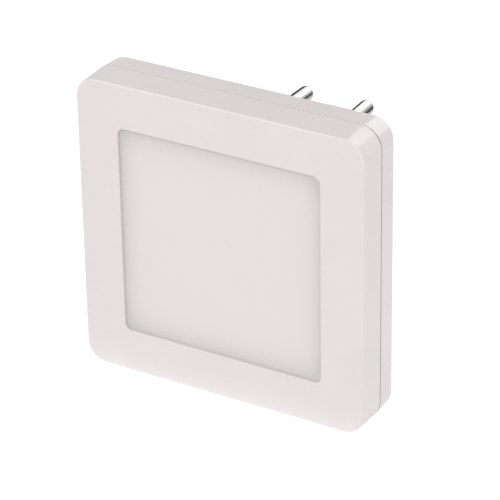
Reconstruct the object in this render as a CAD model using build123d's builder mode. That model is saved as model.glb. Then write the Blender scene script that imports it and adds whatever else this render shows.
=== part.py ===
"""A plug-in night light: a flat square lamp on a two-pin mains plug block.

Millimetres. The origin is the centre of the plug face, midway between the pins.
+Y runs into the wall with the pins, -Y is the room side, +X is right seen from
the room, and +Z is up. A level is a distance from the plug face into the room,
and a reach is a distance along a pin from the plug face towards its tip.
"""

import os
from math import atan, cos, degrees, sin, sqrt

from build123d import *

# Lamp body
face_width = 80.0
face_height = 80.0
corner_radius = 5.7
front_depth = 8.5  # front edge to the parting line
rear_depth = 6.9  # parting line to the back face
wall = 1.8
front_wall = 2.0
back_wall = 1.8
front_draft = 1.8  # degrees, from the parting line forwards
back_draft = 2.6  # degrees, from the parting line backwards
front_edge_radius = 0.45
back_edge_radius = 0.6
shadow_gap = 0.3  # open line between the two shells
tongue_thickness = 0.8
tongue_length = 1.6
fit_clearance = 0.1
weld = 0.4  # how far a feature runs into what carries it

# Light window
window_width = 56.35
window_height = 56.35
window_radius = 2.0
window_edge_radius = 0.2
window_lip = 0.7  # how far the diffuser lies behind the front
diffuser_overlap = 2.0  # hidden margin of the diffuser, on each side
diffuser_thickness = 1.6
diffuser_edge_radius = 0.3
pocket_rib = 1.2
pocket_rib_depth = 3.6

# Plug block
block_width = 35.3
block_height = 13.0
block_depth = 26.2  # plug face to the back of the lamp body
block_corner_cut = 4.9
block_corner_radius = 1.4
block_inner_radius = 0.6
block_draft = 0.6  # degrees, wider towards the lamp body
block_edge_radius = 1.6
block_root_radius = 1.0
block_wall = 1.8
block_end_wall = 3.0
plug_rise = 17.5  # height of the pins above the middle of the lamp body

# Pins
pin_diameter = 4.0
pin_length = 19.0
pin_tip_radius = 1.8
pin_base_pitch = 18.6
pin_tip_pitch = 17.5
sleeve_length = 10.0
sleeve_diameter = 3.66
sleeve_bore_clearance = 0.02
pin_neck_diameter = 2.8  # under the sleeve
pin_flange_diameter = 6.4
pin_flange_thickness = 1.2
pin_flange_seat = 0.8  # depth of the flange's seat in the end wall
pin_root_diameter = 3.2
pin_root_length = 7.0  # behind the flange
solder_cup_diameter = 1.5
solder_cup_depth = 2.4

# Carrier that clamps the pins
carrier_width = 25.4
carrier_height = 8.4
carrier_thickness = 3.4
carrier_corner_radius = 1.5
carrier_post_diameter = 4.6
carrier_post_length = 1.6
carrier_screw_spacing = 7.0
carrier_screw_length = 5.0

# Screws
housing_screw_inset = 5.4  # from the sides of the lamp body
housing_post_diameter = 5.2
housing_tower_diameter = 6.4
housing_head_recess = 2.2
housing_seat_thickness = 1.6
housing_screw_length = 8.0
screw_head_diameter = 4.4
screw_head_height = 1.7
screw_head_clearance = 0.3
screw_core_diameter = 1.8
screw_crest_diameter = 2.2
screw_pitch = 0.9
screw_tip_length = 0.8
screw_slot_width = 0.7
screw_slot_length = 2.8
screw_slot_depth = 0.9
screw_bore_clearance = 0.2
pilot_clearance = 0.02
pilot_extra_depth = 0.3

# Reflector tray and lamp board
tray_wall = 1.6
tray_floor = 0.8
tray_floor_gap = 1.4  # room for solder between the board and the tray floor
tray_draft = 8.0  # degrees, the tray opens towards the window
cup_hole_diameter = 5.4
cup_draft = 40.0
board_inset = 0.8  # the tray stands proud of the board by this on each side
board_thickness = 1.2
board_gap = 3.4  # room between the back wall and the board
board_post_inset = 5.2
board_post_diameter = 4.0
board_peg_diameter = 1.9
board_peg_length = 0.9
led_columns = 2
led_rows = 2
led_pitch = 28.0
led_width = 3.5
led_height = 2.8
led_thickness = 0.8
led_window_diameter = 2.2
led_window_depth = 0.25

# Parts on the back of the board
lead_diameter = 0.6
lead_stub = 0.9  # lead end that stands out of the board's front
lead_hole_clearance = 0.15
solder_diameter = 2.0
solder_height = 0.8
solder_draft = 32.0
solder_clearance = 0.02
standoff = 0.25  # between the board and the body of a part

film_width = 12.0
film_height = 11.0
film_thickness = 6.0
film_edge_radius = 0.5
film_lead_pitch = 10.0
film_x = -1.0
film_z = 0.0

can_diameter = 6.3
can_height = 9.0
can_groove_width = 0.9
can_groove_depth = 0.25
can_groove_level = 1.4
can_edge_radius = 0.4
can_lead_pitch = 2.5
can_x = 10.7
can_z = -0.9

resistor_row_z = -11.0  # both axial resistors lie in this row
resistor_cap_length = 1.5
resistor_waist = 0.15  # the middle is thinner than the caps by this
resistor_bend_radius = 0.9
fusible_diameter = 2.6
fusible_length = 7.0
fusible_lead_pitch = 11.5
fusible_x = -12.0
bleed_diameter = 2.3
bleed_length = 6.3
bleed_lead_pitch = 10.5
bleed_x = 9.0

bridge_x = -12.0
bridge_z = -22.0
bridge_width = 4.7
bridge_height = 3.9
bridge_thickness = 2.4
bridge_edge_cut = 0.3
bridge_lead_pitch = 2.5
bridge_lead_width = 0.7
bridge_lead_reach = 1.4
bridge_lead_foot = 0.9
bridge_lead_thickness = 0.25

chip_count = 4
chip_pitch = 3.4
chip_x = 8.0
chip_z = -22.0
chip_width = 1.6
chip_length = 3.2
chip_thickness = 0.6
chip_cap_length = 0.5
chip_cap_proud = 0.05

wire_diameter = 1.3
wire_core_diameter = 0.9
wire_strip_length = 0.8  # bare core between the insulation and what it is soldered to
wire_straight = 2.5
wire_bend_reach = 7.0
wire_bend_radius = 5.0
left_wire_x = -11.2
left_wire_z = 0.0
right_wire_x = 9.8
right_wire_z = 3.3

# Levels, from the plug face into the room
back_level = block_depth
parting_level = back_level + rear_depth
front_level = parting_level + front_depth
back_inside = back_level + back_wall
front_inside = front_level - front_wall
board_back = back_inside + board_gap
board_front = board_back + board_thickness
diffuser_front = front_level - window_lip
diffuser_back = diffuser_front - diffuser_thickness
tray_floor_back = board_front + tray_floor_gap
tray_floor_front = tray_floor_back + tray_floor
housing_seat = back_level + housing_head_recess
tower_end = housing_seat + housing_seat_thickness
post_end = tower_end + fit_clearance
flange_level = block_end_wall - pin_flange_seat
flange_end = flange_level + pin_flange_thickness
root_end = flange_end + pin_root_length
carrier_seat = block_end_wall + carrier_post_length
carrier_end = block_end_wall + carrier_thickness

# Sizes that follow from the ones above
diffuser_width = window_width + 2 * diffuser_overlap
diffuser_height = window_height + 2 * diffuser_overlap
diffuser_radius = window_radius + diffuser_overlap
pocket_width = diffuser_width + 2 * fit_clearance
pocket_height = diffuser_height + 2 * fit_clearance
pocket_radius = diffuser_radius + fit_clearance
board_width = diffuser_width - 2 * board_inset
board_height = diffuser_height - 2 * board_inset
board_radius = diffuser_radius - board_inset
tongue_inset = wall - tongue_thickness
pin_lean = atan((pin_base_pitch - pin_tip_pitch) / 2 / pin_length)
pilot_radius = screw_crest_diameter / 2 + pilot_clearance
lead_length = lead_stub + board_thickness + standoff + weld

# PLUG faces the room from between the pins, and BODY from the lamp body's middle
PLUG = Plane.XZ
BODY = Plane(origin=(0, 0, -plug_rise), x_dir=(1, 0, 0), z_dir=(0, -1, 0))

film_leads = [(film_x - film_lead_pitch / 2, film_z), (film_x + film_lead_pitch / 2, film_z)]
can_leads = [(can_x - can_lead_pitch / 2, can_z), (can_x + can_lead_pitch / 2, can_z)]
fusible_leads = [(fusible_x + side * fusible_lead_pitch / 2, resistor_row_z) for side in (-1, 1)]
bleed_leads = [(bleed_x + side * bleed_lead_pitch / 2, resistor_row_z) for side in (-1, 1)]
part_leads = film_leads + can_leads + fusible_leads + bleed_leads
wire_ends = [(left_wire_x, left_wire_z), (right_wire_x, right_wire_z)]


def pin_plane(side, reach):
    """A plane across one pin, with its normal along the pin towards the tip."""
    axis = Vector(-side * sin(pin_lean), cos(pin_lean), 0)
    base = Vector(side * pin_base_pitch / 2, 0, 0)
    return Plane(origin=base + axis * reach, x_dir=(0, 0, 1), z_dir=axis)


def body_outline(inset):
    """The lamp body's rounded square at the parting line, pulled in by inset."""
    RectangleRounded(face_width - 2 * inset, face_height - 2 * inset, corner_radius - inset)


def block_outline(inset, vertex_radius):
    """The plug block's flattened hexagon at the plug face, pulled in by inset."""
    Rectangle(block_width - 2 * inset, block_height - 2 * inset)
    chamfer(vertices(), block_corner_cut - inset * (2 - sqrt(2)))
    fillet(vertices(), vertex_radius)


def housing_screw_grid():
    across = face_width - 2 * housing_screw_inset
    up = face_height - 2 * housing_screw_inset
    return GridLocations(across, up, 2, 2)


def board_post_grid():
    across = board_width - 2 * board_post_inset
    up = board_height - 2 * board_post_inset
    return GridLocations(across, up, 2, 2)


def carrier_screw_row():
    return GridLocations(carrier_screw_spacing, 1, 2, 1)


def led_grid():
    return GridLocations(led_pitch, led_pitch, led_columns, led_rows)


def make_screw(length):
    """A slotted pan-head screw: its head stands on z = 0 and its thread runs down -Z."""
    core = screw_core_diameter / 2
    crest = screw_crest_diameter / 2
    turns = int((length - screw_tip_length) / screw_pitch)
    outline = [(0, screw_head_height), (screw_head_diameter / 2, screw_head_height)]
    outline += [(screw_head_diameter / 2, 0), (core, 0)]
    for turn in range(turns):
        top = -turn * screw_pitch
        outline += [(crest, top - screw_pitch / 2), (core, top - screw_pitch)]
    outline += [(0, -length)]
    with BuildPart() as screw:
        with BuildSketch(Plane.XZ):
            with BuildLine():
                Polyline(*outline, close=True)
            make_face()
        revolve(axis=Axis.Z)
        head_rim = screw.edges().filter_by(GeomType.CIRCLE).sort_by(Axis.Z)[-1]
        fillet(head_rim, screw_head_height / 3)
        with BuildSketch(Plane.XY.offset(screw_head_height)):
            Rectangle(screw_slot_length, screw_slot_width)
            Rectangle(screw_slot_width, screw_slot_length)
        extrude(amount=-screw_slot_depth, mode=Mode.SUBTRACT)
    return screw.part


def make_pin(side):
    """One contact pin: tip, sleeved neck, flange, root and solder cup."""
    steps = [
        (pin_length, sleeve_length, pin_diameter),
        (sleeve_length, -flange_level, pin_neck_diameter),
        (-flange_level, -flange_end, pin_flange_diameter),
        (-flange_end, -root_end, pin_root_diameter),
    ]
    with BuildPart() as pin:
        for start, end, diameter in steps:
            with BuildSketch(pin_plane(side, start)):
                Circle(diameter / 2)
            extrude(amount=end - start)
        fillet(pin.faces().sort_by(Axis.Y)[-1].edges(), pin_tip_radius)
        with BuildSketch(pin_plane(side, -root_end)):
            Circle(solder_cup_diameter / 2)
        extrude(amount=solder_cup_depth, mode=Mode.SUBTRACT)
    return pin


def make_sleeve(side):
    """The insulating sleeve on one pin's neck, from the flange to the bare tip."""
    with BuildPart() as sleeve:
        with BuildSketch(pin_plane(side, sleeve_length)):
            Circle(sleeve_diameter / 2)
            Circle(pin_neck_diameter / 2 + sleeve_bore_clearance, mode=Mode.SUBTRACT)
        extrude(amount=-(sleeve_length + flange_level))
    return sleeve


def wire_route(side, end_x, end_z, start_reach, end_level):
    """Corner points of one wire, from the pin's solder cup to the board."""
    start = pin_plane(side, start_reach).origin
    first_bend = pin_plane(side, -root_end - wire_straight).origin
    second_bend = Vector(end_x, first_bend.Y - wire_bend_reach, end_z)
    return [start, first_bend, second_bend, Vector(end_x, -end_level, end_z)]


def make_wire(side, end_x, end_z):
    """One insulated wire with its bare ends in the solder cup and the board."""
    cup_bottom = solder_cup_depth - solder_clearance - root_end
    core_route = wire_route(side, end_x, end_z, cup_bottom, board_front + lead_stub)
    strip_reach = -root_end - wire_strip_length
    cover_route = wire_route(side, end_x, end_z, strip_reach, board_back - wire_strip_length)
    with BuildPart() as wire:
        for route, diameter in ((core_route, wire_core_diameter), (cover_route, wire_diameter)):
            with BuildLine() as path:
                FilletPolyline(*route, radius=wire_bend_radius)
            with BuildSketch(Plane(origin=route[0], z_dir=path.line % 0)):
                Circle(diameter / 2)
            sweep(path=path.line)
    return wire


def make_resistor(x, length, diameter, places):
    """An axial resistor lying on the board's back, its leads bent through the board."""
    centre_level = board_back - standoff - diameter / 2
    centre = (x, -centre_level, resistor_row_z)
    with BuildPart() as resistor:
        with BuildSketch(Plane(origin=centre, z_dir=(1, 0, 0))):
            Circle(diameter / 2 - resistor_waist)
        extrude(amount=length / 2, both=True)
        for side in (-1, 1):
            cap_face = (x + side * length / 2, -centre_level, resistor_row_z)
            with BuildSketch(Plane(origin=cap_face, z_dir=(-side, 0, 0))):
                Circle(diameter / 2)
            extrude(amount=resistor_cap_length)
        fillet(resistor.edges().filter_by(GeomType.CIRCLE), resistor_waist / 3)
        for (lead_x, lead_z), side in zip(places, (-1, 1)):
            start = (x + side * (length / 2 - weld), -centre_level, lead_z)
            corner = (lead_x, -centre_level, lead_z)
            end = (lead_x, -board_front - lead_stub, lead_z)
            with BuildLine() as lead_path:
                FilletPolyline(start, corner, end, radius=resistor_bend_radius)
            with BuildSketch(Plane(origin=start, z_dir=(side, 0, 0))):
                Circle(lead_diameter / 2)
            sweep(path=lead_path.line)
    return resistor


# Front frame: one moulded shell with the window, the screw posts and the tongue
with BuildPart() as front_frame:
    with BuildSketch(BODY.offset(parting_level)):
        body_outline(0)
    extrude(amount=front_depth, taper=front_draft)
    fillet(front_frame.faces().sort_by(Axis.Y)[0].edges(), front_edge_radius)
    with BuildSketch(BODY.offset(parting_level)):
        body_outline(wall)
    extrude(amount=front_depth - front_wall, taper=front_draft, mode=Mode.SUBTRACT)
    # tongue that locates the rear shell
    with BuildSketch(BODY.offset(parting_level + weld)):
        body_outline(tongue_inset)
        RectangleRounded(
            face_width - 2 * wall,
            face_height - 2 * wall,
            corner_radius - wall,
            mode=Mode.SUBTRACT,
        )
    extrude(amount=-tongue_length - weld)
    # rib round the diffuser's pocket
    with BuildSketch(BODY.offset(front_inside + weld)):
        RectangleRounded(
            pocket_width + 2 * pocket_rib,
            pocket_height + 2 * pocket_rib,
            pocket_radius + pocket_rib,
        )
        RectangleRounded(pocket_width, pocket_height, pocket_radius, mode=Mode.SUBTRACT)
    extrude(amount=-pocket_rib_depth - weld)
    # posts for the housing screws
    with BuildSketch(BODY.offset(post_end)):
        with housing_screw_grid():
            Circle(housing_post_diameter / 2)
    extrude(amount=front_inside + weld - post_end)
    # seat of the diffuser, then the window itself
    with BuildSketch(BODY.offset(diffuser_front)):
        RectangleRounded(pocket_width, pocket_height, pocket_radius)
    extrude(amount=front_inside - diffuser_front, mode=Mode.SUBTRACT)
    with BuildSketch(BODY.offset(front_level)):
        RectangleRounded(window_width, window_height, window_radius)
    extrude(amount=-front_wall, mode=Mode.SUBTRACT)
    fillet(front_frame.faces().sort_by(Axis.Y)[0].inner_wires()[0].edges(), window_edge_radius)
    with BuildSketch(BODY.offset(post_end)):
        with housing_screw_grid():
            Circle(pilot_radius)
    extrude(amount=housing_screw_length - housing_seat_thickness + pilot_extra_depth, mode=Mode.SUBTRACT)

# Rear shell: the back of the lamp body and the plug block, moulded in one
with BuildPart() as rear_shell:
    with BuildSketch(BODY.offset(parting_level - shadow_gap)):
        body_outline(0)
    extrude(amount=-(rear_depth - shadow_gap), taper=back_draft)
    fillet(rear_shell.faces().sort_by(Axis.Y)[-1].edges(), back_edge_radius)
    with BuildSketch(PLUG):
        block_outline(0, block_corner_radius)
    extrude(amount=back_level + back_wall / 2, taper=-block_draft)
    back_face = rear_shell.faces().filter_by(Plane.XZ).sort_by(SortBy.AREA)[-2]
    fillet(back_face.inner_wires()[0].edges(), block_root_radius)
    fillet(rear_shell.faces().sort_by(Axis.Y)[-1].edges(), block_edge_radius)
    # hollow of the lamp body, its rebate for the tongue, and the hollow of the block
    with BuildSketch(BODY.offset(parting_level - shadow_gap)):
        body_outline(wall)
    extrude(amount=-(rear_depth - shadow_gap - back_wall), taper=back_draft, mode=Mode.SUBTRACT)
    with BuildSketch(BODY.offset(parting_level - shadow_gap)):
        body_outline(tongue_inset - fit_clearance)
    extrude(amount=-(tongue_length - shadow_gap + fit_clearance), mode=Mode.SUBTRACT)
    with BuildSketch(PLUG.offset(block_end_wall)):
        block_outline(block_wall, block_inner_radius)
    extrude(amount=back_inside - block_end_wall, taper=-block_draft, mode=Mode.SUBTRACT)
    # towers for the housing screws and posts for the board
    with BuildSketch(BODY.offset(back_inside - weld)):
        with housing_screw_grid():
            Circle(housing_tower_diameter / 2)
    extrude(amount=tower_end - back_inside + weld)
    with BuildSketch(BODY.offset(back_inside - weld)):
        with board_post_grid():
            Circle(board_post_diameter / 2)
    extrude(amount=board_gap + weld)
    with BuildSketch(BODY.offset(board_back)):
        with board_post_grid():
            Circle(board_peg_diameter / 2)
    extrude(amount=board_peg_length)
    # posts for the carrier screws
    with BuildSketch(PLUG.offset(block_end_wall - weld)):
        with carrier_screw_row():
            Circle(carrier_post_diameter / 2)
    extrude(amount=carrier_post_length + weld)
    # screw holes
    with BuildSketch(BODY.offset(back_level)):
        with housing_screw_grid():
            Circle(screw_head_diameter / 2 + screw_head_clearance)
    extrude(amount=housing_head_recess, mode=Mode.SUBTRACT)
    with BuildSketch(BODY.offset(housing_seat)):
        with housing_screw_grid():
            Circle(screw_crest_diameter / 2 + screw_bore_clearance)
    extrude(amount=housing_seat_thickness, mode=Mode.SUBTRACT)
    with BuildSketch(PLUG.offset(carrier_seat)):
        with carrier_screw_row():
            Circle(pilot_radius)
    pilot_depth = carrier_screw_length - (carrier_end - carrier_seat) + pilot_extra_depth
    extrude(amount=-pilot_depth, mode=Mode.SUBTRACT)
    # sleeve holes and flange seats in the end wall
    for side in (-1, 1):
        with BuildSketch(pin_plane(side, weld)):
            Circle(sleeve_diameter / 2 + fit_clearance)
        extrude(amount=-(weld + flange_level), mode=Mode.SUBTRACT)
        with BuildSketch(pin_plane(side, -flange_level)):
            Circle(pin_flange_diameter / 2 + fit_clearance)
        extrude(amount=-pin_flange_thickness, mode=Mode.SUBTRACT)

# Diffuser: an opal plate held between the frame and the tray
with BuildPart() as diffuser:
    with BuildSketch(BODY.offset(diffuser_back)):
        RectangleRounded(diffuser_width, diffuser_height, diffuser_radius)
    extrude(amount=diffuser_thickness)
    fillet(diffuser.faces().sort_by(Axis.Y)[-1].edges(), diffuser_edge_radius)

# Reflector tray: white walls and floor in front of the board
with BuildPart() as reflector_tray:
    with BuildSketch(BODY.offset(board_front)):
        RectangleRounded(diffuser_width, diffuser_height, diffuser_radius)
    extrude(amount=diffuser_back - board_front)
    with BuildSketch(BODY.offset(diffuser_back)):
        RectangleRounded(
            diffuser_width - 2 * diffuser_overlap,
            diffuser_height - 2 * diffuser_overlap,
            window_radius,
        )
    extrude(amount=tray_floor_front - diffuser_back, taper=tray_draft, mode=Mode.SUBTRACT)
    with BuildSketch(BODY.offset(board_front)):
        RectangleRounded(
            diffuser_width - 2 * tray_wall,
            diffuser_height - 2 * tray_wall,
            diffuser_radius - tray_wall,
        )
    extrude(amount=tray_floor_gap, mode=Mode.SUBTRACT)
    with BuildSketch(BODY.offset(tray_floor_back)):
        with led_grid():
            Circle(cup_hole_diameter / 2)
    extrude(amount=tray_floor, taper=-cup_draft, mode=Mode.SUBTRACT)

# Lamp board
with BuildPart() as led_board:
    with BuildSketch(BODY.offset(board_back)):
        RectangleRounded(board_width, board_height, board_radius)
        with board_post_grid():
            Circle(board_peg_diameter / 2 + fit_clearance, mode=Mode.SUBTRACT)
    extrude(amount=board_thickness)
    with BuildSketch(PLUG.offset(board_back)):
        with Locations(*part_leads):
            Circle(lead_diameter / 2 + lead_hole_clearance)
        with Locations(*wire_ends):
            Circle(wire_core_diameter / 2 + lead_hole_clearance)
    extrude(amount=board_thickness, mode=Mode.SUBTRACT)

# Light-emitting diodes on the board's front
with BuildPart() as leds:
    with BuildSketch(BODY.offset(board_front)):
        with led_grid():
            Rectangle(led_width, led_height)
    extrude(amount=led_thickness)
    with BuildSketch(BODY.offset(board_front + led_thickness)):
        with led_grid():
            Circle(led_window_diameter / 2)
    extrude(amount=-led_window_depth, mode=Mode.SUBTRACT)

# Film capacitor that drops the mains voltage, standing into the plug block
with BuildPart() as film_capacitor:
    with BuildSketch(PLUG.offset(board_back - standoff)):
        with Locations((film_x, film_z)):
            Rectangle(film_width, film_thickness)
    extrude(amount=-film_height)
    fillet(film_capacitor.edges(), film_edge_radius)
    with BuildSketch(PLUG.offset(board_front + lead_stub)):
        with Locations(*film_leads):
            Circle(lead_diameter / 2)
    extrude(amount=-lead_length)

# Electrolytic capacitor that smooths the lamp current
with BuildPart() as smoothing_capacitor:
    with BuildSketch(PLUG.offset(board_back - standoff)):
        with Locations((can_x, can_z)):
            Circle(can_diameter / 2)
    extrude(amount=-can_height)
    fillet(smoothing_capacitor.faces().sort_by(Axis.Y)[-1].edges(), can_edge_radius)
    with BuildSketch(PLUG.offset(board_back - standoff - can_groove_level)):
        with Locations((can_x, can_z)):
            Circle(can_diameter / 2)
            Circle(can_diameter / 2 - can_groove_depth, mode=Mode.SUBTRACT)
    extrude(amount=-can_groove_width, mode=Mode.SUBTRACT)
    with BuildSketch(PLUG.offset(board_front + lead_stub)):
        with Locations(*can_leads):
            Circle(lead_diameter / 2)
    extrude(amount=-lead_length)

fusible_resistor = make_resistor(fusible_x, fusible_length, fusible_diameter, fusible_leads)
bleed_resistor = make_resistor(bleed_x, bleed_length, bleed_diameter, bleed_leads)

# Bridge rectifier with four gull-wing leads
with BuildPart() as bridge_rectifier:
    with BuildSketch(PLUG.offset(board_back - standoff)):
        with Locations((bridge_x, bridge_z)):
            Rectangle(bridge_width, bridge_height)
    extrude(amount=-bridge_thickness)
    chamfer(bridge_rectifier.faces().sort_by(Axis.Y)[-1].edges(), bridge_edge_cut)
    for side in (-1, 1):
        for column in (-1, 1):
            lead_x = bridge_x + column * bridge_lead_pitch / 2
            lead_plane = Plane(origin=(lead_x, 0, bridge_z), x_dir=(0, 0, side), z_dir=(1, 0, 0))
            shoulder = board_back - standoff - bridge_thickness / 2
            foot = board_back - bridge_lead_thickness / 2
            knee = bridge_height / 2 + bridge_lead_reach - bridge_lead_foot
            toe = bridge_height / 2 + bridge_lead_reach
            with BuildSketch(lead_plane):
                with BuildLine():
                    Polyline(
                        (bridge_height / 2 - weld, side * shoulder),
                        (knee, side * shoulder),
                        (knee, side * foot),
                        (toe, side * foot),
                    )
                trace(line_width=bridge_lead_thickness)
            extrude(amount=bridge_lead_width / 2, both=True)

# Chip resistors that share the lamp current
with BuildPart() as chip_resistors:
    with BuildSketch(PLUG.offset(board_back - chip_cap_proud)):
        with Locations((chip_x, chip_z)):
            with GridLocations(chip_pitch, 1, chip_count, 1):
                Rectangle(chip_width - 2 * chip_cap_proud, chip_length)
    extrude(amount=-(chip_thickness - 2 * chip_cap_proud))
    with BuildSketch(PLUG.offset(board_back)):
        with Locations((chip_x, chip_z)):
            with GridLocations(chip_pitch, chip_length - chip_cap_length, chip_count, 2):
                Rectangle(chip_width, chip_cap_length)
    extrude(amount=-chip_thickness)

# Solder cones on the board's front
with BuildPart() as solder_joints:
    with BuildSketch(PLUG.offset(board_front)):
        with Locations(*part_leads, *wire_ends):
            Circle(solder_diameter / 2)
    extrude(amount=solder_height, taper=solder_draft)
    with BuildSketch(PLUG.offset(board_front)):
        with Locations(*part_leads):
            Circle(lead_diameter / 2 + solder_clearance)
        with Locations(*wire_ends):
            Circle(wire_core_diameter / 2 + solder_clearance)
    extrude(amount=solder_height, mode=Mode.SUBTRACT)

# Carrier that clamps both pin flanges against the end wall
with BuildPart() as pin_carrier:
    with BuildSketch(PLUG.offset(block_end_wall)):
        RectangleRounded(carrier_width, carrier_height, carrier_corner_radius)
    extrude(amount=carrier_thickness)
    with BuildSketch(PLUG.offset(block_end_wall)):
        with carrier_screw_row():
            Circle(carrier_post_diameter / 2 + fit_clearance)
    extrude(amount=carrier_post_length, mode=Mode.SUBTRACT)
    with BuildSketch(PLUG.offset(carrier_seat)):
        with carrier_screw_row():
            Circle(screw_crest_diameter / 2 + screw_bore_clearance)
    extrude(amount=carrier_end - carrier_seat, mode=Mode.SUBTRACT)
    for side in (-1, 1):
        with BuildSketch(pin_plane(side, -flange_end)):
            Circle(pin_flange_diameter / 2 + fit_clearance)
        extrude(amount=pin_flange_thickness, mode=Mode.SUBTRACT)
        with BuildSketch(pin_plane(side, -flange_end)):
            Circle(pin_root_diameter / 2 + fit_clearance)
        extrude(amount=-carrier_thickness, mode=Mode.SUBTRACT)

carrier_screw = make_screw(carrier_screw_length)
with BuildPart() as carrier_screws:
    with Locations(PLUG.offset(carrier_end)):
        with carrier_screw_row():
            add(carrier_screw)

housing_screw = make_screw(housing_screw_length)
with BuildPart() as housing_screws:
    with Locations(-BODY.offset(housing_seat)):
        with housing_screw_grid():
            add(housing_screw)

pieces = {
    "front_frame": front_frame,
    "rear_shell": rear_shell,
    "diffuser": diffuser,
    "reflector_tray": reflector_tray,
    "led_board": led_board,
    "leds": leds,
    "film_capacitor": film_capacitor,
    "smoothing_capacitor": smoothing_capacitor,
    "fusible_resistor": fusible_resistor,
    "bleed_resistor": bleed_resistor,
    "bridge_rectifier": bridge_rectifier,
    "chip_resistors": chip_resistors,
    "solder_joints": solder_joints,
    "left_wire": make_wire(-1, left_wire_x, left_wire_z),
    "right_wire": make_wire(1, right_wire_x, right_wire_z),
    "left_pin": make_pin(-1),
    "right_pin": make_pin(1),
    "left_pin_sleeve": make_sleeve(-1),
    "right_pin_sleeve": make_sleeve(1),
    "pin_carrier": pin_carrier,
    "carrier_screws": carrier_screws,
    "housing_screws": housing_screws,
}

os.makedirs("parts", exist_ok=True)
for name, builder in pieces.items():
    builder.part.label = name
    export_step(builder.part, f"parts/{name}.step")
print(f"pins lean {degrees(pin_lean):.2f} degrees, bends {wire_bend_radius:g} mm")
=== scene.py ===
import functools
import math

import bmesh
import bpy
from mathutils import Matrix, Vector


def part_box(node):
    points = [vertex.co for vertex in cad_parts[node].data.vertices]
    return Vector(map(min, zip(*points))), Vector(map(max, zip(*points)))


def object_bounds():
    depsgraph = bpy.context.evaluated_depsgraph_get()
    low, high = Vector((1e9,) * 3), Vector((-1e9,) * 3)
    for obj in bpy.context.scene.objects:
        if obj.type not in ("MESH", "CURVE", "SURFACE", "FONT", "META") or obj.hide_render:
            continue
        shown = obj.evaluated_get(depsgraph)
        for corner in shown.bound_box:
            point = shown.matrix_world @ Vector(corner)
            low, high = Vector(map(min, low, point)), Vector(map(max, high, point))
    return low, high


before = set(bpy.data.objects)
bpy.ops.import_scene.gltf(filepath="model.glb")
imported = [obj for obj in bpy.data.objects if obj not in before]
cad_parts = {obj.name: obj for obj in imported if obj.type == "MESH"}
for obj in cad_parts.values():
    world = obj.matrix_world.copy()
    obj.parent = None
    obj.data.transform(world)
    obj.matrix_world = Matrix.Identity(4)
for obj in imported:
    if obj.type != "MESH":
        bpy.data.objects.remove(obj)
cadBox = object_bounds()
scene = bpy.context.scene
mm = 0.001
print("frame loaded,", len(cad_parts), "nodes")


class Value:
    # one output socket, with the maths that the shaders use
    def __init__(self, shader, socket):
        self.shader = shader
        self.socket = socket

    def maths(self, operation, *others):
        sides = {place: other for place, other in enumerate((self,) + others)}
        return self.shader.node("Math", {"operation": operation}, sides)

    def __add__(self, other):
        return self.maths("ADD", other)

    def __radd__(self, other):
        return self.maths("ADD", other)

    def __sub__(self, other):
        return self.maths("SUBTRACT", other)

    def __rsub__(self, other):
        return self.shader.node("Math", {"operation": "SUBTRACT"}, {0: other, 1: self})

    def __mul__(self, other):
        return self.maths("MULTIPLY", other)

    def __rmul__(self, other):
        return self.maths("MULTIPLY", other)

    def __truediv__(self, other):
        return self.maths("DIVIDE", other)

    def size(self):
        return self.maths("ABSOLUTE")

    def lower(self, other):
        return self.maths("MINIMUM", other)

    def upper(self, other):
        return self.maths("MAXIMUM", other)

    def root(self):
        return self.maths("SQRT")

    def wave(self, pitch):
        return (self * (2 * math.pi / pitch)).maths("SINE")

    def ramp(self, start, end, low=0.0, high=1.0):
        span = {"Value": self, "From Min": start, "From Max": end, "To Min": low, "To Max": high}
        return self.shader.node("MapRange", {"interpolation_type": "SMOOTHSTEP"}, span)

    def past(self, level, soft=0.04):  # 1 above the level, 0 below
        return self.ramp(level - soft, level + soft)

    def under(self, level, soft=0.04):
        return self.ramp(level + soft, level - soft)


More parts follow.
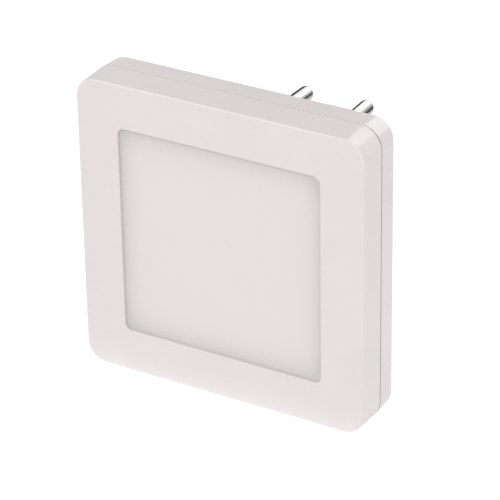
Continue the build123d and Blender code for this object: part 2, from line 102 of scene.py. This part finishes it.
class Shader:
    # one tree of nodes, for a material or for the world, which reads places in millimetres
    def __init__(self, name, owner=None):
        self.owner = owner or bpy.data.materials.new(name)
        self.owner.use_nodes = True
        self.tree = self.owner.node_tree
        self.tree.nodes.clear()
        self.point = None

    def node(self, kind, settings=None, sockets=None, out=0):
        made = self.tree.nodes.new("ShaderNode" + kind)
        for name, setting in (settings or {}).items():
            if name == "stops":
                self.setStops(made.color_ramp, setting)
            else:
                setattr(made, name, setting)
        for name, value in (sockets or {}).items():
            if isinstance(value, Value):
                self.tree.links.new(value.socket, made.inputs[name])
            else:
                made.inputs[name].default_value = value
        return Value(self, made.outputs[out]) if made.outputs else None

    def setStops(self, ramp, stops):
        while len(ramp.elements) < len(stops):
            ramp.elements.new(1.0)
        for element, (place, colour) in zip(ramp.elements, stops):
            element.position = place
            element.color = colour

    def millimetres(self):
        if self.point is None:
            coordinates = self.node("TexCoord", out="Object")
            sizes = {"Vector": coordinates, "Scale": 3 * [1 / mm]}
            self.point = self.node("Mapping", {"vector_type": "POINT"}, sizes)
        return self.point

    def axis(self, letter):
        return self.node("SeparateXYZ", sockets={"Vector": self.millimetres()}, out=letter)

    def noise(self, grain, detail=2.0, roughness=0.5):
        sockets = {"Vector": self.millimetres(), "Scale": 1 / grain}
        sockets |= {"Detail": detail, "Roughness": roughness}
        return self.node("TexNoise", sockets=sockets, out="Fac")

    def blend(self, amount, first, second):
        sockets = {"Factor": amount, 6: first, 7: second}  # the inputs and output for colours
        return self.node("Mix", {"data_type": "RGBA"}, sockets, out=2)

    def clouds(self, grain, colours, low=0.35, high=0.65):  # two close shades in soft patches
        return self.blend(self.noise(grain).ramp(low, high), *colours)

    def away(self, across, up):  # distance from a line along Y
        side, rise = self.axis("X") - across, self.axis("Z") - up
        return (side * side + rise * rise).root()

    def fromCopies(self, name, width, height):  # distance from the nearest of a node's two or four copies
        low, high = span(name)
        centre = middle(name)
        side = (self.axis("X") - centre[0]).size() - (high[0] - low[0] - width) / 2
        rise = (self.axis("Z") - centre[2]).size() - (high[2] - low[2] - height) / 2
        return (side * side + rise * rise).root()

    def gloss(self, level, grain, drift=0.06):  # a roughness that wanders a little with the grain
        return level + (grain - 0.5) * drift

    def bump(self, height, depth, below=None):
        sockets = {"Height": height, "Distance": depth * mm, "Strength": 1.0}
        if below is not None:
            sockets["Normal"] = below
        return self.node("Bump", sockets=sockets)

    def seen(self):  # 1 for rays from the camera, also by way of gloss or glass
        camera, glossy, glass = [
            self.node("LightPath", out="Is %s Ray" % ray) for ray in ("Camera", "Glossy", "Transmission")
        ]
        return camera.upper(glossy).upper(glass)

    def surface(self, colour, roughness, normal, metallic=0.0, ior=1.5):
        sockets = {"Base Color": colour, "Roughness": roughness, "Normal": normal}
        sockets |= {"Metallic": metallic, "IOR": ior}
        return self.finish(self.node("BsdfPrincipled", sockets=sockets))

    def finish(self, shaded, kind="OutputMaterial"):
        self.node(kind, sockets={"Surface": shaded})
        return self.owner


def dress(material, *names):
    for name in names:
        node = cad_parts[name]
        node.data.materials.clear()
        node.data.materials.append(material)
        node.data.polygons.foreach_set("material_index", [0] * len(node.data.polygons))


def rgb(red, green, blue):
    return (red, green, blue, 1.0)


def span(name):  # a node's lowest and highest corners, in millimetres
    return [[side / mm for side in corner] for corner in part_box(name)]


def middle(name):
    low, high = span(name)
    return [(a + b) / 2 for a, b in zip(low, high)]


# camera: looks down on the front from the upper right
camera = {
    "azimuth": 30.85,
    "elevation": 28.235,
    "roll": -0.99,
    "distance": 690.5 * mm,
    "lens": 206.25,
    "sensor": 36.0,
    "across": 8.81 * mm,  # aim beside the middle of the front
    "up": 4.11 * mm,
}


def addCamera(c):
    low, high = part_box("front_frame")
    aim = Vector(((low[0] + high[0]) / 2 + c["across"], low[1], (low[2] + high[2]) / 2 + c["up"]))
    turn, rise = math.radians(c["azimuth"]), math.radians(c["elevation"])
    back = Vector((math.sin(turn) * math.cos(rise), -math.cos(turn) * math.cos(rise), math.sin(rise)))
    right = Vector((math.cos(turn), math.sin(turn), 0))
    up = back.cross(right)
    pose = Matrix.Rotation(math.radians(c["roll"]), 3, back) @ Matrix((right, up, back)).transposed()
    lens = bpy.data.cameras.new("camera")
    lens.lens = c["lens"]
    lens.sensor_width = c["sensor"]
    made = bpy.data.objects.new("camera", lens)
    made.matrix_world = Matrix.Translation(aim + back * c["distance"]) @ pose.to_4x4()
    scene.collection.objects.link(made)
    scene.camera = made


addCamera(camera)
print("camera placed")

# housing: satin moulded plastic, a warm white, with spark texture on the back and the plug block
housing = {
    "colours": (rgb(0.795, 0.745, 0.747), rgb(0.78, 0.73, 0.73)),
    "cloud": 14.0,  # slow drift of the colour
    "grain": 0.22,  # fine moulding texture
    "grainDepth": 0.0012,
    "gloss": 0.16,
    "spark": 0.45,  # coarser texture behind
    "sparkDepth": 0.010,
    "sparkGloss": 0.36,
    "blockDepth": 26.2,  # how far the plug block stands out of the back
    "backEdge": 0.15,  # how far in front of the back face the texture starts
    "backSoft": 0.1,
    "joint": 0.3,  # open gap between the shells; its faces get painted light along the top and painted shade down the sides
    "jointReach": 0.01,  # how far the painted colour goes past it
    "jointSoft": 0.005,
    # painted light for the groove along the top, painted shade for it down the sides
    "jointPaintedLightAndShade": (rgb(0.87, 0.82, 0.82), rgb(0.58, 0.55, 0.55)),
    "jointPaintedShadeTurn": (-5.0, -3.6),  # the painted shade sets in between these places, counted from the side
}


def housingPlastic(h):
    s = Shader("housingPlastic")
    low, high = span("rear_shell")
    rough = s.axis("Y").past(high[1] - h["blockDepth"] - h["backEdge"], h["backSoft"])
    grain = s.noise(h["grain"], detail=3.0)
    spark = s.noise(h["spark"], detail=4.0, roughness=0.6)
    gloss = rough * (h["sparkGloss"] - h["gloss"]) + h["gloss"]
    fromJoint = (s.axis("Y") - low[1] + h["joint"] / 2).size()
    joint = fromJoint.under(h["joint"] / 2 + h["jointReach"], h["jointSoft"])
    # the groove's faces: painted light along the top, painted shade down the sides
    paintedGrooveLightAndShade = s.blend((s.axis("X").size() - high[0]).ramp(*h["jointPaintedShadeTurn"]), *h["jointPaintedLightAndShade"])
    return s.surface(
        s.blend(joint, s.clouds(h["cloud"], h["colours"]), paintedGrooveLightAndShade),
        s.gloss(gloss, grain),
        s.bump(spark * rough, h["sparkDepth"], s.bump(grain, h["grainDepth"])),
    )


# window: opal plastic, with painted shade towards the margin that the frame covers
window = {
    "colour": rgb(0.798, 0.748, 0.749),
    # painted shade for the covered margin
    "margin": rgb(0.62, 0.585, 0.585),
    "fade": (2.35, 2.8),  # how fast the painted shade at the margin dies away, across and up
    "overlap": 2.0,  # width of the covered margin
    "gloss": 0.42,
    "frost": 0.35,
    "frostDepth": 0.002,
}


def opalPlastic(w):
    s = Shader("opalPlastic")
    low, high = span("diffuser")
    half = (high[0] - low[0]) / 2 - w["overlap"]
    across, up = s.axis("X"), s.axis("Z") - middle("diffuser")[2]
    sides = [((side.size() - half) / fade).maths("EXPONENT") for side, fade in zip((across, up), w["fade"])]
    # painted shade, darkest at the covered margin
    paintedShade = (sides[0] + sides[1]).lower(1.0)
    frost = s.noise(w["frost"], detail=3.0)
    colour = s.blend(paintedShade, w["colour"], w["margin"])
    return s.surface(colour, s.gloss(w["gloss"], frost), s.bump(frost, w["frostDepth"]))


# plain mouldings: two close shades, a grain and a gloss for each
mouldings = {
    "reflectorPlastic": {
        "nodes": ["reflector_tray"],
        "colours": (rgb(0.88, 0.88, 0.87), rgb(0.84, 0.84, 0.82)),
        "cloud": 9.0,
        "grain": 0.16,
        "grainDepth": 0.003,
        "gloss": 0.38,
    },
    "sleevePlastic": {
        "nodes": ["left_pin_sleeve", "right_pin_sleeve"],
        "colours": (rgb(0.020, 0.020, 0.022), rgb(0.030, 0.030, 0.031)),
        "cloud": 1.6,
        "grain": 0.10,
        "grainDepth": 0.004,
        "gloss": 0.42,
    },
    "carrierPlastic": {
        "nodes": ["pin_carrier"],
        "colours": (rgb(0.60, 0.60, 0.58), rgb(0.52, 0.53, 0.50)),
        "cloud": 0.5,  # short glass fibres show as flecks
        "grain": 0.12,
        "grainDepth": 0.006,
        "gloss": 0.45,
    },
}


def mouldedPlastic(name, m):
    s = Shader(name)
    grain = s.noise(m["grain"], detail=3.0)
    colour = s.clouds(m["cloud"], m["colours"])
    return s.surface(colour, s.gloss(m["gloss"], grain), s.bump(grain, m["grainDepth"]))


# bare metal: a bright and a duller shade, and the fine rings that turning leaves
metals = {
    "nickelPlate": {
        "nodes": ["left_pin", "right_pin"],
        "colours": (rgb(0.86, 0.85, 0.83), rgb(0.80, 0.785, 0.76)),
        "haze": 1.3,
        "gloss": 0.115,
        "ringPitch": 0.12,  # along the pin
        "ringDepth": 0.0002,
    },
    "housingScrewSteel": {
        "nodes": ["housing_screws"],
        "colours": (rgb(0.62, 0.63, 0.65), rgb(0.50, 0.51, 0.55)),
        "haze": 0.9,
        "gloss": 0.32,
        "ringPitch": 0.16,  # outwards from each screw's middle
        "ringDepth": 0.0015,
        "head": 4.4,
    },
}
metals["carrierScrewSteel"] = dict(metals["housingScrewSteel"], nodes=["carrier_screws"])


def turnedMetal(name, m):
    s = Shader(name)
    haze = s.noise(m["haze"], detail=4.0)
    place = s.fromCopies(m["nodes"][0], m["head"], m["head"]) if "head" in m else s.axis("Y")
    return s.surface(
        s.blend(haze, *m["colours"]),
        s.gloss(m["gloss"], haze),
        s.bump(place.wave(m["ringPitch"]), m["ringDepth"]),
        metallic=1.0,
    )


solder = {
    "colours": (rgb(0.74, 0.75, 0.76), rgb(0.60, 0.61, 0.62)),
    "ripple": 0.5,
    "rippleDepth": 0.03,
    "gloss": 0.27,
    "drift": 0.18,  # of the gloss
}


def solderMetal(m):
    s = Shader("solderMetal")
    ripple = s.noise(m["ripple"], detail=4.0, roughness=0.6)
    gloss = s.gloss(m["gloss"], ripple, m["drift"])
    return s.surface(s.blend(ripple, *m["colours"]), gloss, s.bump(ripple, m["rippleDepth"]), metallic=1.0)


# lamp board: white mask over copper tracks, tinned pads and glass-fibre edges
lampBoard = {
    "mask": rgb(0.82, 0.84, 0.80),
    "copper": rgb(0.73, 0.76, 0.68),  # the tracks show faintly through the mask
    "trackLift": 0.035,
    "trackSoft": 0.12,
    "fibre": rgb(0.52, 0.47, 0.27),
    "weave": 0.5,
    "weaveDepth": 0.004,
    "edge": 0.05,  # the faces' finish stops this far from the edges
    "edgeSoft": 0.01,
    "grain": 0.3,
    "gloss": 0.45,
    "tin": rgb(0.78, 0.78, 0.77),
    "tinGloss": 0.29,
    "padRadius": 0.95,
    "pads": [  # across, up
        (-6, 0), (4, 0), (9.45, -0.9), (11.95, -0.9), (-17.75, -11), (-6.25, -11), (3.75, -11),
        (14.25, -11), (-11.2, 0), (9.8, 3.3),
    ],
    "tracks": [  # middle across, middle up, width, height
        (-14, -17.5, 3.2, 30), (14, -17.5, 3.2, 30), (0, -3.5, 28, 2.6), (0, -31.5, 28, 2.6),
        (-8.6, 0, 5.6, 1.6), (6.7, -0.2, 5.6, 1.4), (-12, -16.5, 1.4, 12), (9, -11, 11, 1.4),
        (8, -22, 12, 2.2), (0, -22, 14, 1.2),
    ],
}


def boardLaminate(b):
    s = Shader("boardLaminate")
    low, high = span("led_board")
    x, y, z = s.axis("X"), s.axis("Y"), s.axis("Z")
    outside = [
        ((x - across).size() - width / 2).upper((z - up).size() - height / 2)
        for across, up, width, height in b["tracks"]
    ]
    apart = [s.away(across, up) for across, up in b["pads"]]
    thick = high[1] - low[1]
    face = (y - middle("led_board")[1]).size().past(thick / 2 - b["edge"], b["edgeSoft"])
    track = functools.reduce(Value.lower, outside).under(0, b["trackSoft"]) * face
    pad = functools.reduce(Value.lower, apart).under(b["padRadius"]) * face
    weave = (x.wave(b["weave"]) + z.wave(b["weave"])) / 4 + 0.5  # from 0 to 1
    printed = s.blend(pad, s.blend(track, b["mask"], b["copper"]), b["tin"])
    return s.surface(
        s.blend(face, s.blend(weave, b["fibre"], b["mask"]), printed),
        s.gloss(b["gloss"] - pad * (b["gloss"] - b["tinGloss"]), s.noise(b["grain"])),
        s.bump(track, b["trackLift"], s.bump(weave, b["weaveDepth"])),
        metallic=pad,
    )


# lamps: white packages with a round window of yellow phosphor
lamps = {
    "package": rgb(0.86, 0.86, 0.83),
    "phosphor": (rgb(0.85, 0.62, 0.10), rgb(0.90, 0.72, 0.20)),
    "width": 3.5,
    "height": 2.8,
    "windowRadius": 1.1,
    "gloss": 0.34,
    "phosphorGloss": 0.54,
    "grain": 0.08,
    "grainDepth": 0.02,
}


def lampPackage(p):
    s = Shader("lampPackage")
    phosphor = s.fromCopies("leds", p["width"], p["height"]).under(p["windowRadius"])
    grain = s.noise(p["grain"], detail=3.0)
    gloss = phosphor * (p["phosphorGloss"] - p["gloss"]) + p["gloss"]
    colour = s.blend(phosphor, p["package"], s.blend(grain, *p["phosphor"]))
    return s.surface(colour, s.gloss(gloss, grain), s.bump(grain * phosphor, p["grainDepth"]))


# parts with leads: tinned wire starts where the body ends
leads = {
    "tin": (rgb(0.74, 0.74, 0.73), rgb(0.62, 0.61, 0.58)),
    "scratch": 0.35,
    "drift": 0.1,  # of the gloss
    "soft": 0.02,
    "standoff": 0.25,  # between the upright parts and the board
}


def leadedPart(s, bare, colour, gloss, normal):
    scratch = s.noise(leads["scratch"], detail=4.0)
    return s.surface(
        s.blend(bare, colour, s.blend(scratch, *leads["tin"])),
        s.gloss(gloss, scratch, leads["drift"]),
        normal,
        metallic=bare,
    )


def seatLevel():  # where the upright parts' bodies start
    return span("led_board")[1][1] + leads["standoff"]


filmBox = {
    "colours": (rgb(0.78, 0.55, 0.06), rgb(0.74, 0.51, 0.05)),
    "cloud": 3.0,
    "resin": rgb(0.62, 0.42, 0.05),  # potting at the open end of the box
    "resinDepth": 0.12,
    "ripple": 1.1,
    "rippleDepth": 0.03,
    "stipple": 0.2,
    "stippleShare": 0.2,
    "gloss": 0.34,
}


def filmCase(c):
    s = Shader("filmCase")
    y = s.axis("Y")
    resin = y.under(seatLevel() + c["resinDepth"])
    colour = s.blend(resin, s.clouds(c["cloud"], c["colours"]), c["resin"])
    height = s.noise(c["ripple"], detail=3.0) * resin + s.noise(c["stipple"]) * c["stippleShare"]
    wire = y.under(seatLevel(), leads["soft"])
    return leadedPart(s, wire, colour, c["gloss"], s.bump(height, c["rippleDepth"]))


can = {
    "sleeve": (rgb(0.028, 0.034, 0.055), rgb(0.040, 0.050, 0.075)),
    "cloud": 1.2,
    "stripe": rgb(0.62, 0.63, 0.64),  # marks the negative lead
    "stripeWidth": 1.3,
    "topRadius": 2.35,  # bare aluminium inside the shrunk sleeve
    "ventWidth": 0.28,  # the cross that is pressed into the top
    "ventSoft": 0.06,
    "ventDepth": 0.08,
    "scuff": 0.3,
    "scuffDepth": 0.002,
    "gloss": 0.35,
}


def canSleeve(c):
    s = Shader("canSleeve")
    cx, cy, cz = middle("smoothing_capacitor")
    x, y, z = s.axis("X") - cx, s.axis("Y"), s.axis("Z") - cz
    bare = y.past(cy) * s.away(cx, cz).under(c["topRadius"])
    vent = x.size().lower(z.size()).under(c["ventWidth"], c["ventSoft"]) * bare
    stripe = z.size().under(c["stripeWidth"]) * x.past(0)
    colour = s.blend(stripe, s.clouds(c["cloud"], c["sleeve"]), c["stripe"])
    metal = y.under(seatLevel(), leads["soft"]).upper(bare)
    normal = s.bump(1 - vent, c["ventDepth"], s.bump(s.noise(c["scuff"]), c["scuffDepth"]))
    return leadedPart(s, metal, colour, c["gloss"], normal)


# axial resistors: lacquered bodies with colour bands
brown, black, gold = rgb(0.30, 0.10, 0.02), rgb(0.02, 0.02, 0.02), rgb(0.55, 0.38, 0.10)
yellow, violet = rgb(0.65, 0.45, 0.02), rgb(0.16, 0.03, 0.30)
resistors = {
    "fusible_resistor": {
        "coat": (rgb(0.42, 0.58, 0.62), rgb(0.38, 0.52, 0.56)),
        "length": 7.0,
        "bands": [brown, black, black, gold],
    },
    "bleed_resistor": {
        "coat": (rgb(0.60, 0.46, 0.29), rgb(0.54, 0.41, 0.26)),
        "length": 6.3,
        "bands": [yellow, violet, yellow, gold],
    },
}
banding = {
    "places": (-0.27, -0.11, 0.055, 0.27),  # as shares of the length
    "width": 0.76,
    "soft": 0.05,
    "leadSoft": 0.03,
    "cloud": 0.8,
    "gloss": 0.30,
    "lacquer": 0.4,
    "lacquerDepth": 0.015,
}


def resistorCoat(node, r, b):
    s = Shader(node + "Coat")
    along = s.axis("X") - middle(node)[0]
    colour = s.clouds(b["cloud"], r["coat"])
    for place, band in zip(b["places"], r["bands"]):
        painted = (along - place * r["length"]).size().under(b["width"] / 2, b["soft"])
        colour = s.blend(painted, colour, band)
    normal = s.bump(s.noise(b["lacquer"], detail=3.0), b["lacquerDepth"])
    return leadedPart(s, along.size().past(r["length"] / 2, b["leadSoft"]), colour, b["gloss"], normal)


bridge = {
    "compound": (rgb(0.030, 0.030, 0.031), rgb(0.045, 0.045, 0.046)),
    "cloud": 0.3,
    "height": 3.9,
    "leadStart": 0.05,  # past the body
    "bar": rgb(0.5, 0.5, 0.48),  # printed beside the direct-current leads
    "barPlace": 1.2,
    "barWidth": 0.24,
    "barSoft": 0.03,
    "barLength": 3.2,
    "gloss": 0.48,
    "grain": 0.12,
    "grainDepth": 0.008,
}


def bridgeCompound(b):
    s = Shader("bridgeCompound")
    cx, cy, cz = middle("bridge_rectifier")
    rise = s.axis("Z") - cz
    inBar = (rise - b["barPlace"]).size().under(b["barWidth"] / 2, b["barSoft"])
    inBar = inBar * (s.axis("X") - cx).size().under(b["barLength"] / 2) * s.axis("Y").past(cy)
    colour = s.blend(inBar, s.clouds(b["cloud"], b["compound"]), b["bar"])
    normal = s.bump(s.noise(b["grain"], detail=3.0), b["grainDepth"])
    wire = rise.size().past(b["height"] / 2 + b["leadStart"], leads["soft"])
    return leadedPart(s, wire, colour, b["gloss"], normal)


chips = {
    "glaze": (rgb(0.030, 0.030, 0.034), rgb(0.045, 0.045, 0.050)),
    "cloud": 0.4,
    "glazeDepth": 0.08,
    "ceramic": rgb(0.78, 0.77, 0.73),
    "length": 3.2,
    "cap": 0.5,
    "gloss": 0.33,
    "grain": 0.15,
    "grainDepth": 0.006,
}


def chipCeramic(c):
    s = Shader("chipCeramic")
    rise = (s.axis("Z") - middle("chip_resistors")[2]).size()
    glazed = s.axis("Y").past(span("chip_resistors")[1][1] - c["glazeDepth"], leads["soft"])
    colour = s.blend(glazed, c["ceramic"], s.clouds(c["cloud"], c["glaze"]))
    normal = s.bump(s.noise(c["grain"], detail=3.0), c["grainDepth"])
    cap = rise.past(c["length"] / 2 - c["cap"], leads["soft"])
    return leadedPart(s, cap, colour, c["gloss"], normal)


# wires: insulation, with bare strands at both ends
wires = {
    "left_wire": (rgb(0.05, 0.13, 0.48), rgb(0.04, 0.10, 0.40)),
    "right_wire": (rgb(0.22, 0.09, 0.03), rgb(0.17, 0.07, 0.025)),
}
strands = {
    "bare": 0.8,  # length that shows beside the board and the pin
    "soft": 0.03,
    "cup": 2.4,  # depth of the hollow in the pin that holds one end
    "twist": (1.5, 0.5, 1.0),  # the way across the strands
    "pitch": 0.22,
    "copper": rgb(0.80, 0.47, 0.32),
    "speckle": 0.25,
    "depth": 0.01,
    "cloud": 2.0,
    "gloss": 0.34,
}


def wireCover(node, colours, w):
    s = Shader(node + "Cover")
    y = s.axis("Y")
    start = span("led_board")[1][1] + w["bare"]
    end = span(node)[1][1] - w["cup"] - w["bare"]
    bare = y.past(end, w["soft"]).upper(y.under(start, w["soft"]))
    across = sum(s.axis(letter) * share for letter, share in zip("XYZ", w["twist"]))
    twist = across.wave(w["pitch"])
    speckle = s.noise(w["speckle"], detail=3.0)
    colour = s.blend(bare, s.clouds(w["cloud"], colours), s.blend(speckle, w["copper"], leads["tin"][0]))
    height = twist * bare + speckle * (1 - bare)
    return s.surface(colour, s.gloss(w["gloss"], speckle), s.bump(height, w["depth"]), metallic=bare)


dress(housingPlastic(housing), "front_frame", "rear_shell")
dress(opalPlastic(window), "diffuser")
for name, moulding in mouldings.items():
    dress(mouldedPlastic(name, moulding), *moulding["nodes"])
for name, metal in metals.items():
    dress(turnedMetal(name, metal), *metal["nodes"])
dress(solderMetal(solder), "solder_joints")
dress(boardLaminate(lampBoard), "led_board")
dress(lampPackage(lamps), "leds")
dress(filmCase(filmBox), "film_capacitor")
dress(canSleeve(can), "smoothing_capacitor")
for name, resistor in resistors.items():
    dress(resistorCoat(name, resistor, banding), name)
dress(bridgeCompound(bridge), "bridge_rectifier")
dress(chipCeramic(chips), "chip_resistors")
for name, colours in wires.items():
    dress(wireCover(name, colours, strands), name)
print("materials made")

# studio: pale floor and even sky
studio = {
    "sky": 0.718,
    "floorDrop": 250 * mm,
    "floorSpan": 4.0,
    "floorColour": rgb(0.9, 0.9, 0.9),
    "floorLift": 0.32,  # brings the floor up to the sky's white
}
white = rgb(1, 1, 1)
unseen = ("camera", "transmission", "volume_scatter", "shadow")  # rays that pass a lit card by


def placeStage(shape, name, material, hidden=()):
    mesh = bpy.data.meshes.new(name)
    shape.to_mesh(mesh)
    shape.free()
    mesh.materials.append(material)
    made = bpy.data.objects.new(name, mesh)
    for ray in hidden:
        setattr(made, "visible_" + ray, False)
    scene.collection.objects.link(made)


def glowPaint(name, glow):
    s = Shader(name)
    return s.finish(s.node("Emission", sockets={"Color": white, "Strength": glow}))


def addFloor(f):
    s = Shader("floorPaint")
    paint = s.node("BsdfDiffuse", sockets={"Color": f["floorColour"]})
    lift = s.node("Emission", sockets={"Color": white, "Strength": s.seen() * f["floorLift"]})
    s.finish(s.node("AddShader", sockets={0: paint, 1: lift}))
    sheet = bmesh.new()
    bmesh.ops.create_grid(sheet, x_segments=1, y_segments=1, size=f["floorSpan"])
    bmesh.ops.translate(sheet, verts=sheet.verts, vec=(0, 0, cadBox[0][2] - f["floorDrop"]))
    placeStage(sheet, "floor", s.owner)


def addSky(f):
    scene.world = bpy.data.worlds.new("sky")
    s = Shader("sky", scene.world)
    strength = s.seen() * (1 - f["sky"]) + f["sky"]
    s.finish(s.node("Background", sockets={"Color": white, "Strength": strength}), "OutputWorld")


# soft panels that light the paint and stay out of every reflection
panels = {
    "keyPanel": {"power": 3.0, "size": 0.6, "place": (-0.05, -0.76, 0.62)},
    "sidePanel": {"power": 3.0, "size": 0.7, "place": (1.05, 0.35, 0.10)},
    "backPanel": {"power": 0.9, "size": 0.6, "place": (-0.35, 0.90, -0.18)},
}


def facing(place):  # stands at a place and looks back at the middle
    return Matrix.Translation(place) @ Vector(place).to_track_quat("Z", "Y").to_matrix().to_4x4()


def addPanel(name, p):
    lamp = bpy.data.lights.new(name, "AREA")
    lamp.energy = p["power"]
    lamp.size = p["size"]
    made = bpy.data.objects.new(name, lamp)
    made.matrix_world = facing(p["place"])
    made.visible_glossy = False
    scene.collection.objects.link(made)


# a lit strip just in front of and below the body, which lifts the lowest edge of the front
sill = {
    "drop": 3 * mm,
    "width": 3 * mm,
    "glow": 2.2,
}


def addSill(r):
    low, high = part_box("front_frame")
    shape = bmesh.new()
    bmesh.ops.create_grid(shape, x_segments=1, y_segments=1, size=0.5)
    bmesh.ops.scale(shape, verts=shape.verts, vec=(high[0] - low[0], r["width"], 1))
    place = ((low[0] + high[0]) / 2, low[1] - r["width"] / 2, low[2] - r["drop"])
    bmesh.ops.translate(shape, verts=shape.verts, vec=place)
    placeStage(shape, "sill", glowPaint("sillGlow", r["glow"]), unseen + ("glossy",))


# a high card whose reflection runs along the upper front edge
highCard = {
    "size": 0.45,
    "place": (-0.42, -0.22, 0.80),
    "glow": 4.2,
}


def addHighCard(c):
    shape = bmesh.new()
    bmesh.ops.create_grid(shape, x_segments=1, y_segments=1, size=c["size"] / 2)
    bmesh.ops.transform(shape, matrix=facing(c["place"]), verts=shape.verts)
    placeStage(shape, "highCard", glowPaint("highCardGlow", c["glow"]), unseen + ("diffuse",))


# tubes of light and dark bands round the pins' direction: two for the body's gloss, and inside
# them a small one for the pins'
bodyBands = [  # angle from straight up towards the right, and glow
    (-180, 0.68),
    (-105, 0.46),
    (-85, 0.62),
    (-68, 0.72),
    (-58, 0.52),
    (-46, 0.40),
    (-38, 0.33),
]
sideBands = [
    (100, 0.18),
    (122, 0.42),
    (128, 0.46),
    (140, 0.64),
    (160, 0.70),
    (180, 0.68),
]
tents = {
    "nearTent": {
        "radius": 150 * mm,
        "near": 0,
        "far": 132 * mm,
        "bands": bodyBands + [(-5.5, 0.30), (-2.5, 1.92), (45, 1.92), (48.5, 0.19)] + sideBands,
    },
    "farTent": {
        "radius": 150 * mm,
        "near": 132 * mm,
        "far": 260 * mm,
        "bands": bodyBands + [(-13.5, 0.29), (-10, 2.3), (62.5, 2.3), (65.5, 0.19)] + sideBands,
    },
    "pinTent": {
        "radius": 50 * mm,
        "near": 56 * mm,
        "far": 200 * mm,
        "bands": [
            (-180, 0.75),
            (-140, 0.50),
            (-134, 0.06),
            (-55, 0.06),
            (-50, 1.20),
            (-45, 1.10),
            (-39, 0.70),
            (-29, 0.70),
            (-24, 2.30),
            (36, 2.30),
            (40, 0.90),
            (58, 0.75),
            (73, 0.48),
            (88, 0.22),
            (103, 0.05),
            (116, 0.05),
            (126, 0.40),
            (140, 0.60),
            (180, 0.75),
        ],
    },
}


def addTent(name, t, steps=72):
    s = Shader(name + "Glow")
    angle = s.node("Math", {"operation": "ARCTAN2"}, {0: s.axis("X"), 1: s.axis("Z")})
    top = max(glow for _, glow in t["bands"])
    stops = [((place + 180) / 360, rgb(*3 * [glow / top])) for place, glow in t["bands"]]
    glow = s.node("ValToRGB", {"stops": stops}, {"Fac": angle / (2 * math.pi) + 0.5})
    s.finish(s.node("Emission", sockets={"Color": glow, "Strength": top}))
    shape = bmesh.new()
    ends = [shape.verts.new((0, y, t["radius"])) for y in (t["near"], t["far"])]
    edge = shape.edges.new(ends)
    turn = {"angle": 2 * math.pi, "steps": steps, "use_merge": True}
    bmesh.ops.spin(shape, geom=ends + [edge], axis=(0, 1, 0), cent=(0, 0, 0), **turn)
    placeStage(shape, name, s.owner, unseen + ("diffuse",))


addFloor(studio)
addSky(studio)
for name, panel in panels.items():
    addPanel(name, panel)
addSill(sill)
addHighCard(highCard)
for name, tent in tents.items():
    addTent(name, tent)
scene.view_settings.view_transform = "Standard"
print("studio lit")
